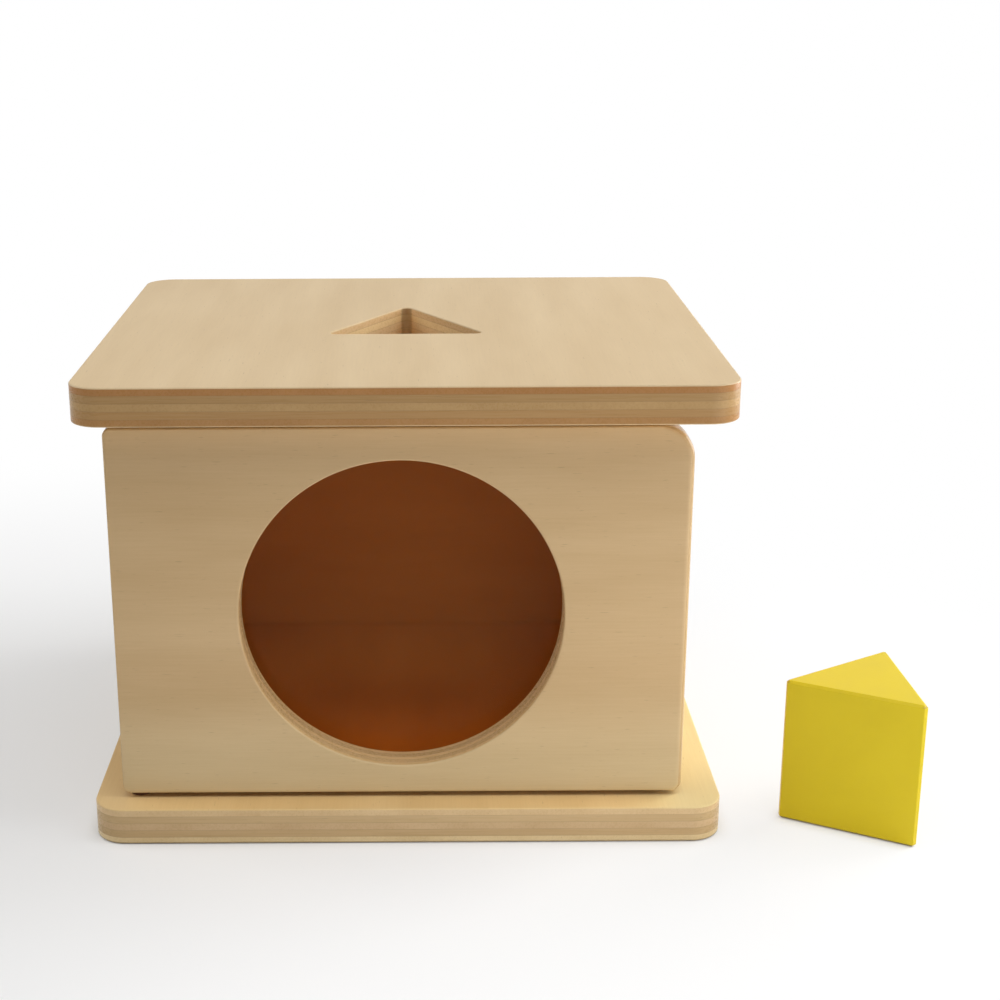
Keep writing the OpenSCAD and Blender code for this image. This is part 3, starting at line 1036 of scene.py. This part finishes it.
wall_floor, wall_top = side_low[2], side_high[2]
back_dowel_places = [
    (wall_middles["back_wall"][1], z) for z in (wall_floor + fastener_inset, wall_top - fastener_inset)
]
left_bore = (back_low[0] - level_bore_out, back_low[0] + level_bore_in)
right_bore = (back_high[0] - level_bore_in, back_high[0] + level_bore_out)
wall_drills = [
    turned(wall_points, [dowel_bore] * 2, (wall_top - lid_dowel_down, wall_top + drill_over), "Z"),
    turned(wall_points, [screw_bore] * 2, (wall_floor - drill_over, wall_floor + base_screw_up), "Z"),
    turned(back_dowel_places, [dowel_bore] * 2, left_bore, "X"),
    turned(back_dowel_places, [dowel_bore] * 2, right_bore, "X"),
]
magnet_place = ((wall_floor + wall_top) / 2, wall_middles["right_wall"][0])
magnet_seat = turned(
    [magnet_place], [magnet_bore] * 2, (side_low[1] - drill_over, side_low[1] + magnet_depth), "Y"
)


def wall(node, axis, along, face_high, shift, *more_drills):
    """One wall, with its thickness along an axis, its grain lying level and its show face on the outside."""
    low, high, span = board_box(node, axis)
    outline = round_outline(rectangle(low, high), wall_ease)
    grid, marks = solid_board(outline, span, axis, (wall_ease, wall_ease))
    piece = make_mesh(node + "_plywood", grid[None], True, marks)
    drill(piece, *wall_drills, *more_drills)
    finish = plywood_finish(node + "_finish", along + "Z" + axis, span, face_high, wall_tints, shift)
    hand_over(piece, finish, "box", node)


wall("left_wall", "X", "Y", False, 1300.0)
wall("right_wall", "X", "Y", True, 1700.0, magnet_seat)
wall("back_wall", "Y", "X", True, 2100.0)

# %% [markdown]
# ## Door
# The door is one 10 mm board with a round window. Three of its corners are nearly square. The fourth, at the
# top on the free side, is a wide arc for the fingers, and there and down the free edge the front is rounded
# over more. The rounding therefore follows the outline's normal: full where it points to the free side.

# %% Door board
door_corner_radius = 2.5
grip_radius = 10.5
rail_low = 9.5
window_radius = 50.5
window_shift = -1.5
window_steps = 180
window_rim = (0.6, 0.4)
door_ease = 0.7
grip_ease = 2.2

door_low, door_high = box_mm("door_panel")
door_span = (door_low[1], door_high[1])
between_walls = (side_high[0] + box_mm("right_wall")[0][0]) / 2
window_centre = np.array([door_low[2] + rail_low + window_radius, between_walls + window_shift])
door_outline = round_outline(
    rectangle(door_low[[2, 0]], door_high[[2, 0]]),
    [door_corner_radius, door_corner_radius, grip_radius, door_corner_radius],
)


def door_rounding(outward):
    """Front and back radius of the door's edge.

    The front swells from door_ease to grip_ease with the square root of the normal's share towards the
    free side."""
    to_free_side = np.clip(outward[:, 1], 0, 1)
    return door_ease + (grip_ease - door_ease) * np.sqrt(to_free_side), np.full(len(outward), door_ease)


door_grid, door_marks = ring_board(
    door_outline, circle(window_centre, window_radius, window_steps), window_centre, door_span, "Y",
    ease=door_rounding, rim=window_rim,
)
door = make_mesh("door_plywood", door_grid[None], False, door_marks)
print("window's middle at", np.round(window_centre, 2).tolist(), "mm up and across")

# %% [markdown]
# The door is drilled for its two hinge pins, at the back for the pane's four screws, and for its magnet. The
# show face points to the front, and the veneer is painted paler towards the bottom, as painted light, because
# the lid shades the door's top.

# %% Door bores and finish
pin_grip = 15.0
pin_press = 2.0
pane_screw_bore = 1.3
pane_screw_inset = 7.0
door_stain = (0.985, 0.92, 0.84)
# Painted light: the door's face turns paler towards the bottom, away from the lid's shade.
door_painted_light = (60.0, -5.0)

pane_low, pane_high = box_mm("window_pane")
pane_screw_places = [
    (z, x)
    for z in (pane_low[2] + pane_screw_inset, pane_high[2] - pane_screw_inset)
    for x in (pane_low[0] + pane_screw_inset, pane_high[0] - pane_screw_inset)
]
door_back = door_high[1] + drill_over
drill(
    door,
    turned([pivot], [pin_press] * 2, (door_low[2] - drill_over, door_low[2] + pin_grip), "Z"),
    turned([pivot], [pin_press] * 2, (door_high[2] - pin_grip, door_high[2] + drill_over), "Z"),
    turned(pane_screw_places, [pane_screw_bore] * 2, (door_low[1] + bore_floor, door_back), "Y"),
    turned([magnet_place], [magnet_bore] * 2, (door_high[1] - magnet_depth, door_back), "Y"),
)
door_finish = plywood_finish(
    "door_finish", "XZY", door_span, False, door_tints, 2600.0, door_stain, window_tints, painted_light=door_painted_light
)
hand_over(door, door_finish, "door", "door_panel")

# %% [markdown]
# ## Window pane
# A 3 mm sheet of red-brown acrylic is screwed on behind the window. It could be a plain transparent shader,
# but the Principled shader's transmission also bends light and gives a faint sheen, and a small part that
# doesn't pass stands for the sheet's haze. Glass in a path tracer blocks the lamps' light, so shadow rays get
# a tinted transparent shader: that lets light into the box.

# %% Acrylic finish
pane_clear = 0.985
pane_tint = (0.78, 0.45, 0.19, 1.0)
pane_bending = 1.12
smear_turn = (0.0, math.radians(25), 0.0)
smear_fineness = (0.03, 0.03, 0.35)
smear_range = (0.35, 0.75)
smear_roughness = (0.10, 0.22)


def acrylic_finish():
    """Tinted sheet with fine handling smears in its gloss."""
    material, bench, shader = new_material("tinted_acrylic")
    smear = bench.add("Mapping")
    bench.fill(smear.inputs, Vector=bench.place_mm(), Rotation=smear_turn, Scale=smear_fineness)
    cloud = bench.noise(smear.outputs[0], detail=4.0, roughness=0.6)
    bench.fill(
        shader, Base_Color=pane_tint, Transmission_Weight=pane_clear, IOR=pane_bending,
        Roughness=bench.spread(cloud, *smear_range, *smear_roughness),
    )
    clear = bench.add("BsdfTransparent")
    bench.fill(clear.inputs, Color=pane_tint)
    nodes = material.node_tree.nodes
    shadow_ray = bench.add("LightPath").outputs["Is Shadow Ray"]
    lamps_pass = bench.mixed(shadow_ray, nodes["Principled BSDF"].outputs[0], clear.outputs[0])
    bench.fill(nodes["Material Output"].inputs, Surface=lamps_pass)
    return material


acrylic = acrylic_finish()
print(acrylic.name, "lets through", pane_clear)

# %% [markdown]
# The sheet is cut to a rectangle with round corners and drilled at each corner. It keeps a film of air to the
# door, because two faces in one plane would flicker.

# %% Window pane
pane_corner_radius = 6.0
pane_ease = 0.25
pane_film = 0.08

pane_outline = round_outline(rectangle(pane_low[[2, 0]], pane_high[[2, 0]]), pane_corner_radius)
pane_span = (pane_low[1] + pane_film, pane_high[1])
pane_grid, pane_marks = solid_board(pane_outline, pane_span, "Y", (pane_ease, pane_ease))
pane = make_mesh("tinted_pane", pane_grid[None], True, pane_marks)
pane_bore = (pane_low[1] - drill_over, pane_high[1] + drill_over)
drill(pane, turned(pane_screw_places, [pane_screw_bore] * 2, pane_bore, "Y"))
hand_over(pane, acrylic, "door", "window_pane")

# %% [markdown]
# ## Yellow paint
# The block to post is solid wood under satin yellow paint. The paint shows a faint orange-peel skin and a
# trace of the grain under it, and it is rubbed through at the top corners. The lower edges are painted
# darker where they meet the table: painted shade. The rubbed places could be painted by hand. Here the mark
# of the edges, and the distance from the prism's middle, say where they are.

# %% Paint finish
prism_middle = (146.2, -71.0)
yellow_deep = (0.720, 0.555, 0.006, 1.0)
yellow_pale = (0.740, 0.575, 0.008, 1.0)
yellow_grain = (0.65, 0.47, 0.005, 1.0)
bare_brown = (0.36, 0.22, 0.06, 1.0)
# Painted shade: the dark colour along the prism's lower edges.
table_painted_shade = (0.20, 0.13, 0.02, 1.0)
under_grain_fineness = (0.7, 0.7, 0.03)
skin_fineness = (2.2, 2.2, 2.2)
coat_fineness = (0.06, 0.06, 0.06)
coat_range = (0.3, 0.7)
under_grain_share = 0.08
knock_reach = (24.3, 25.2)
knock_share = 0.6
table_painted_shade_reach = (0.4, 1.2)
table_painted_shade_share = 0.7
paint_gloss = 0.3
paint_rough, coat_rough = 0.32, 0.12
under_grain_rise = 0.8
paint_relief = (0.00003, 0.5)


def paint_finish():
    """Satin yellow paint on wood."""
    material, bench, shader = new_material("yellow_paint")
    place = bench.place_mm()
    x, y, z = bench.split(place)
    grain = bench.noise(place, under_grain_fineness, detail=4.0)
    skin = bench.noise(place, skin_fineness)
    coat = bench.noise(place, coat_fineness)
    paint = bench.colour(bench.spread(coat, *coat_range), yellow_deep, yellow_pale)
    paint = bench.colour(bench.math("MULTIPLY", grain, under_grain_share), paint, yellow_grain)
    arris = bench.mark("arris")
    from_middle = bench.distance(bench.vector(x, y, 0.0), (*prism_middle, 0.0))
    at_corners = bench.spread(from_middle, *knock_reach, 0.0, knock_share)
    paint = bench.colour(bench.math("MULTIPLY", arris, at_corners), paint, bare_brown)
    # Painted shade along the lower edges, where the prism meets the table.
    near_table = bench.spread(z, *table_painted_shade_reach, table_painted_shade_share, 0.0)
    paint = bench.colour(bench.math("MULTIPLY", arris, near_table), paint, table_painted_shade)
    skin_height = bench.math("MULTIPLY_ADD", grain, under_grain_rise, skin)
    bench.fill(
        shader, Base_Color=paint, Roughness=bench.math("MULTIPLY_ADD", coat, coat_rough, paint_rough),
        Specular_IOR_Level=paint_gloss, Normal=bench.bump(skin_height, *paint_relief),
    )
    return material


yellow = paint_finish()
print(yellow.name, "has", len(yellow.node_tree.nodes), "nodes")

# %% [markdown]
# ## Prism
# The prism stands on the table beside the box, turned a little. Its edges are planed off by about a
# millimetre. The upright chamfers come from cutting each corner of the outline in two, and the level ones
# from the bend in the section.

# %% Prism
prism_side = 45.98
prism_turn = -28.0
prism_chamfer = 1.55
prism_arris = 0.25
prism_ease = 0.9
prism_bend = 0.25

prism_span = board_box("triangular_prism", "Z")[2]
prism_corners = triangle(prism_middle, prism_side, prism_turn)
along_side = (np.roll(prism_corners, -1, 0) - prism_corners) / prism_side * prism_chamfer
before, after = prism_corners - np.roll(along_side, 1, 0), prism_corners + along_side
cut_corners = np.stack([before, after], 1).reshape(-1, 2)
prism_outline = round_outline(cut_corners, prism_arris)
prism_grid, prism_marks = solid_board(prism_outline, prism_span, "Z", (prism_ease, prism_ease), prism_bend)
prism = make_mesh("yellow_prism", prism_grid[None], True, prism_marks)
hand_over(prism, yellow, "prism", "triangular_prism")

# %% [markdown]
# ## Metal finishes
# Pins and screws are zinc-plated steel, and the catch magnets are nickel-plated. Plated metal is a mirror
# with a fine, uneven haze. One group gives the haze and the drawn scratches of both metals, and serves for
# the washers too. The washers get the dark red-brown of the shaded gaps they sit in, and no metallic shine:
# painted shade.

# %% Metal
haze_range = (0.3, 0.8)
haze_share = 0.35
haze_grey = (0.6, 0.6, 0.6, 1.0)
scratch_fineness = (0.6, 0.6, 9.0)
scratch_rough = 0.18
scratch_relief = (0.00001, 0.4)


def build_plating():
    """Node group for plated metal: a colour with cloudy haze, and a roughness with fine scratches."""
    tree, bench, given, made = new_group(
        "plating",
        {"Position": ("Vector", None), "Metal": ("Color", (0.7, 0.7, 0.7, 1.0)), "Polish": ("Float", 0.3)},
        {"Color": "Color", "Roughness": "Float", "Height": "Float"},
    )
    haze = bench.noise(given["Position"], detail=3.0)
    scratch = bench.noise(given["Position"], scratch_fineness, detail=3.0)
    dim = bench.spread(haze, *haze_range, 0.0, haze_share)
    metal = bench.colour(dim, given["Metal"], haze_grey, "MULTIPLY")
    rough = bench.math("MULTIPLY_ADD", scratch, scratch_rough, given["Polish"])
    bench.fill(made, Color=metal, Roughness=rough, Height=scratch)
    return tree


plating = build_plating()


def metal_finish(name, metal, polish, metallic=1.0):
    """Plated metal of that colour and polish, or the painted shade of the washers."""
    material, bench, shader = new_material(name)
    plated = bench.group(plating, Position=bench.place_mm(), Metal=metal, Polish=polish).outputs
    bench.fill(
        shader, Base_Color=plated["Color"], Metallic=metallic, Roughness=plated["Roughness"],
        Normal=bench.bump(plated["Height"], *scratch_relief),
    )
    return material


steel = metal_finish("zinc_plated_steel", (0.74, 0.74, 0.75, 1.0), 0.28)
# Painted shade: the washers take the dark red-brown of the shaded gaps they sit in.
gap_shaded = metal_finish("gap_shaded_steel", (0.10, 0.035, 0.008, 1.0), 0.55, metallic=0.0)
nickel = metal_finish("nickel_plate", (0.80, 0.78, 0.74, 1.0), 0.12)
print("metals:", steel.name, gap_shaded.name, nickel.name)

# %% [markdown]
# ## Hinge and catch
# The door turns on two steel pins with a washer above and below. A pair of disc magnets holds it shut. They
# are small round boards: a circle for an outline, an eased edge, and a hole in the washers.

# %% Pins, washers and magnets
pin_ease = 0.4
washer_ease = 0.2
magnet_ease = 0.3
ROUND_STEPS = 48


def round_piece(node, axis, ease, body, slot, material, bore=None):
    """A disc, rod or ring that fills its node's box, with its axis along X, Y or Z."""
    low, high, span = board_box(node, axis)
    middle = (low + high) / 2
    rim = circle(middle, (high - low).max() / 2, ROUND_STEPS)
    if bore:
        hole = circle(middle, bore, ROUND_STEPS)
        grid, marks = ring_board(rim, hole, middle, span, axis, lambda outward: (ease, ease), (ease, ease))
    else:
        grid, marks = solid_board(rim, span, axis, (ease, ease))
    piece = make_mesh(node + "_" + slot, grid[None], bore is None, marks)
    hand_over(piece, material, body, node)


for node in ("lower_hinge_pin", "upper_hinge_pin"):
    round_piece(node, "Z", pin_ease, "door", "steel", steel)
round_piece("lower_washer", "Z", washer_ease, "box", "steel", gap_shaded, pin_bore)
round_piece("upper_washer", "Z", washer_ease, "door", "steel", gap_shaded, pin_bore)
round_piece("door_magnet", "Y", magnet_ease, "door", "nickel", nickel)
round_piece("wall_magnet", "Y", magnet_ease, "box", "nickel", nickel)

# %% [markdown]
# ## Screws
# The pane is held by four small pan-head screws, the base by six countersunk ones. Both have a cross recess.
# A head is a turned shape whose top is pressed in by a cross: the depth falls off smoothly away from the two
# arms and towards their ends, so the whole head stays one grid.

# %% Screw shape
SCREW_STEPS = 64
RECESS_ROWS = 16
TIP_SHARE = 0.4
ARM_SHARE, WIDTH_SHARE, DEPTH_SHARE = 0.62, 0.17, 0.35
SIDE_SLOPE, END_SLOPE = 0.5, 0.35


def cross_recess(radius, bearing, head_radius):
    """Depth of a cross recess: full on its two arms, and smoothly nothing beside them and past their ends.

    The distance to the nearer arm is r times the smaller of |sin| and |cos| of the bearing."""
    arm, width = ARM_SHARE * head_radius, WIDTH_SHARE * head_radius
    beside = radius * np.minimum(np.abs(np.sin(bearing)), np.abs(np.cos(bearing)))
    on_arm = np.clip((width - beside) / (SIDE_SLOPE * width), 0, 1)
    short_of_end = np.clip((arm - radius) / (END_SLOPE * arm), 0, 1)
    return DEPTH_SHARE * head_radius * on_arm * short_of_end


def screw_grids(places, shank, shank_end, head, head_base, crown, facing, axis):
    """Grids of screws: shank, head edge and a crowned top with its cross recess.

    head lists the head's radii and heights from the shank outwards, and facing is 1 or -1 along the axis. The
    top rises by the crown times 1 - (r / head's radius) squared, and the recess is taken off it."""
    head_radius, head_top = head[-1]
    tip = [(shank * TIP_SHARE, shank_end), (shank, shank_end + facing * shank)]
    profile = np.array(tip + [(shank, head_base)] + head)
    inner = np.linspace(1, 0, RECESS_ROWS)[1:-1] * head_radius
    radii = np.concatenate([profile[:, 0], inner])
    crowned = head_top + facing * crown * (1 - (inner / head_radius) ** 2)
    grids = turned(places, radii, np.concatenate([profile[:, 1], crowned]), axis, SCREW_STEPS)
    row_radii = np.concatenate([[0], radii, [0]])[:, None]
    on_top = (np.arange(len(row_radii)) >= len(profile))[:, None]
    pressed = cross_recess(row_radii, full_turn(SCREW_STEPS) + np.pi / 4, head_radius) * on_top
    grids[..., THICKNESS_AXIS[axis]] -= facing * pressed
    return grids if facing > 0 else grids[:, :, ::-1]


print("screw heads have", RECESS_ROWS, "rows")

# %% [markdown]
# The pan heads stand on the back of the pane. Their section is a short upright edge and then a rounded
# shoulder. The countersunk heads are cones that end in a thin rim, half a millimetre inside the base's
# underside.

# %% Screws
pane_screw_radius = 1.25
pane_head_radius = 2.5
pan_section = ((1.0, 0.0), (1.0, 0.5), (0.92, 0.9), (0.75, 1.25))
base_screw_radius = 1.75
base_head_radius = 3.5
head_rim = 0.05
head_flat = 0.97

pane_screw_span = board_box("pane_screws", "Y")[2]
pane_head = [(share * pane_head_radius, pane_high[1] + rise) for share, rise in pan_section]
pane_crown = pane_screw_span[1] - pane_head[-1][1]
pane_screw_grids = screw_grids(
    pane_screw_places, pane_screw_radius, pane_screw_span[0], pane_head, pane_high[1], pane_crown, 1, "Y"
)
pane_screws = make_mesh("pane_screws_steel", pane_screw_grids, True)
hand_over(pane_screws, steel, "door", "pane_screws")

base_screw_end = box_mm("base_screws")[1][2]
base_head = [(base_head_radius, screw_sunk + head_rim), (base_head_radius * head_flat, screw_sunk)]
base_head_base = screw_sunk + base_head_radius - base_screw_radius
base_screw_grids = screw_grids(
    wall_points, base_screw_radius, base_screw_end, base_head, base_head_base, 0.0, -1, "Z"
)
base_screws = make_mesh("base_screws_steel", base_screw_grids, True)
hand_over(base_screws, steel, "box", "base_screws")

# %% [markdown]
# ## Dowels
# The dowels are beech, with straight flutes that let glue and air out. The flutes are a wave on the circle of
# the outline: the radius dips a little with each flute. They are hidden in the boards, as on the real box.

# %% Beech finish
beech_dark = (0.62, 0.40, 0.22, 1.0)
beech_light = (0.76, 0.56, 0.36, 1.0)
beech_rough, fleck_rough = 0.55, 0.2
fleck_fineness = (1.2, 1.2, 0.4)
fleck_relief = 0.00005


def dowel_finish():
    """Bare beech: pinkish tan with fine flecks along the dowel."""
    material, bench, shader = new_material("bare_beech")
    fleck = bench.noise(bench.place_mm(), fleck_fineness, detail=4.0)
    bench.fill(
        shader, Base_Color=bench.colour(fleck, beech_dark, beech_light),
        Roughness=bench.math("MULTIPLY_ADD", fleck, fleck_rough, beech_rough),
        Normal=bench.bump(fleck, fleck_relief),
    )
    return material


beech = dowel_finish()
print(beech.name, "has", len(beech.node_tree.nodes), "nodes")

# %% [markdown]
# Six dowels stand between the walls and the lid. Four lie level between the back wall and the side walls,
# two at each end.

# %% Dowels
dowel_radius = 3.0
flute_depth = 0.18
flutes = 16
steps_per_flute = 6
dowel_ease = 0.7
back_dowel_in = 18.0


def fluted_outline(centre):
    """Circle whose radius dips by flute_depth (1 - cos(flutes times the bearing)) / 2."""
    outline = circle((0.0, 0.0), dowel_radius, steps_per_flute * flutes)
    bearing = np.arctan2(outline.normals[:, 1], outline.normals[:, 0])
    dip = flute_depth * (0.5 - 0.5 * np.cos(flutes * bearing))
    outline.points = np.asarray(centre) + outline.inset(dip)
    return outline


def dowels(node, axis, places, spans):
    """All the dowels of one node in one mesh."""
    ease = (dowel_ease, dowel_ease)
    boards = [solid_board(fluted_outline(place), span, axis, ease) for place, span in zip(places, spans)]
    grids = np.stack([grid for grid, marks in boards])
    piece = make_mesh(node + "_beech", grids, True, boards[0][1])
    hand_over(piece, beech, "box", node)


lid_dowel_span = board_box("lid_dowels", "Z")[2]
dowels("lid_dowels", "Z", wall_points, [lid_dowel_span] * len(wall_points))
back_dowel_out = back_low[0] - box_mm("back_dowels")[0][0]
left_dowel = (back_low[0] - back_dowel_out, back_low[0] + back_dowel_in)
right_dowel = (back_high[0] - back_dowel_in, back_high[0] + back_dowel_out)
dowels("back_dowels", "X", back_dowel_places * 2, [left_dowel] * 2 + [right_dowel] * 2)
